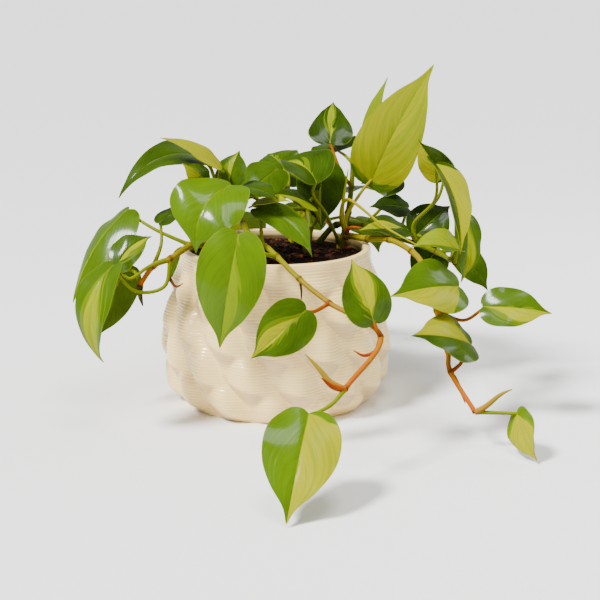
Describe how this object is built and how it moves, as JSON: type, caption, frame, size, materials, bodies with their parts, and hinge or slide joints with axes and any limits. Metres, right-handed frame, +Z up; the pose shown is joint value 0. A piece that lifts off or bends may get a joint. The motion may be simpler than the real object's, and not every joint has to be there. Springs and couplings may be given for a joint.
{
  "type": "potted trailing houseplant",
  "caption": "Trailing heart-leaved philodendron with green and lime leaves on stems rooted in a round cream stoneware pot with a dimpled, finely ribbed wall.",
  "frame": {"origin": "centre of the pot's flat underside, on the surface that the pot stands on", "axes": "+Z up along the pot's axis, -Y towards the viewer of the picture, +X to the viewer's right; the front stem trails along -Y"},
  "size_m": [0.3043, 0.3574, 0.226],
  "materials": {
    "pot": "cream glazed stoneware, satin gloss, fine level ribs",
    "potting_mix": "damp dark potting mix with bark chips",
    "front_stem": "waxy leaf, green with lime centre",
    "right_stem": "waxy leaf, green with lime centre",
    "upright_stem": "waxy leaf, green with lime centre",
    "centre_stem": "waxy leaf, green with lime centre",
    "left_upper_stem": "waxy leaf, green with lime centre",
    "left_lower_stem": "waxy leaf, green with lime centre",
    "right_back_stem": "waxy leaf, green with lime centre",
    "back_left_stem": "waxy leaf, green with lime centre",
    "back_right_stem": "waxy leaf, green with lime centre"
  },
  "bodies": {
    "root": {"pot": "pot", "potting_mix": "potting_mix", "front_stem": "front_stem", "right_stem": "right_stem", "upright_stem": "upright_stem", "centre_stem": "centre_stem", "left_upper_stem": "left_upper_stem", "left_lower_stem": "left_lower_stem", "right_back_stem": "right_back_stem", "back_left_stem": "back_left_stem", "back_right_stem": "back_right_stem"}
  },
  "joints": []
}
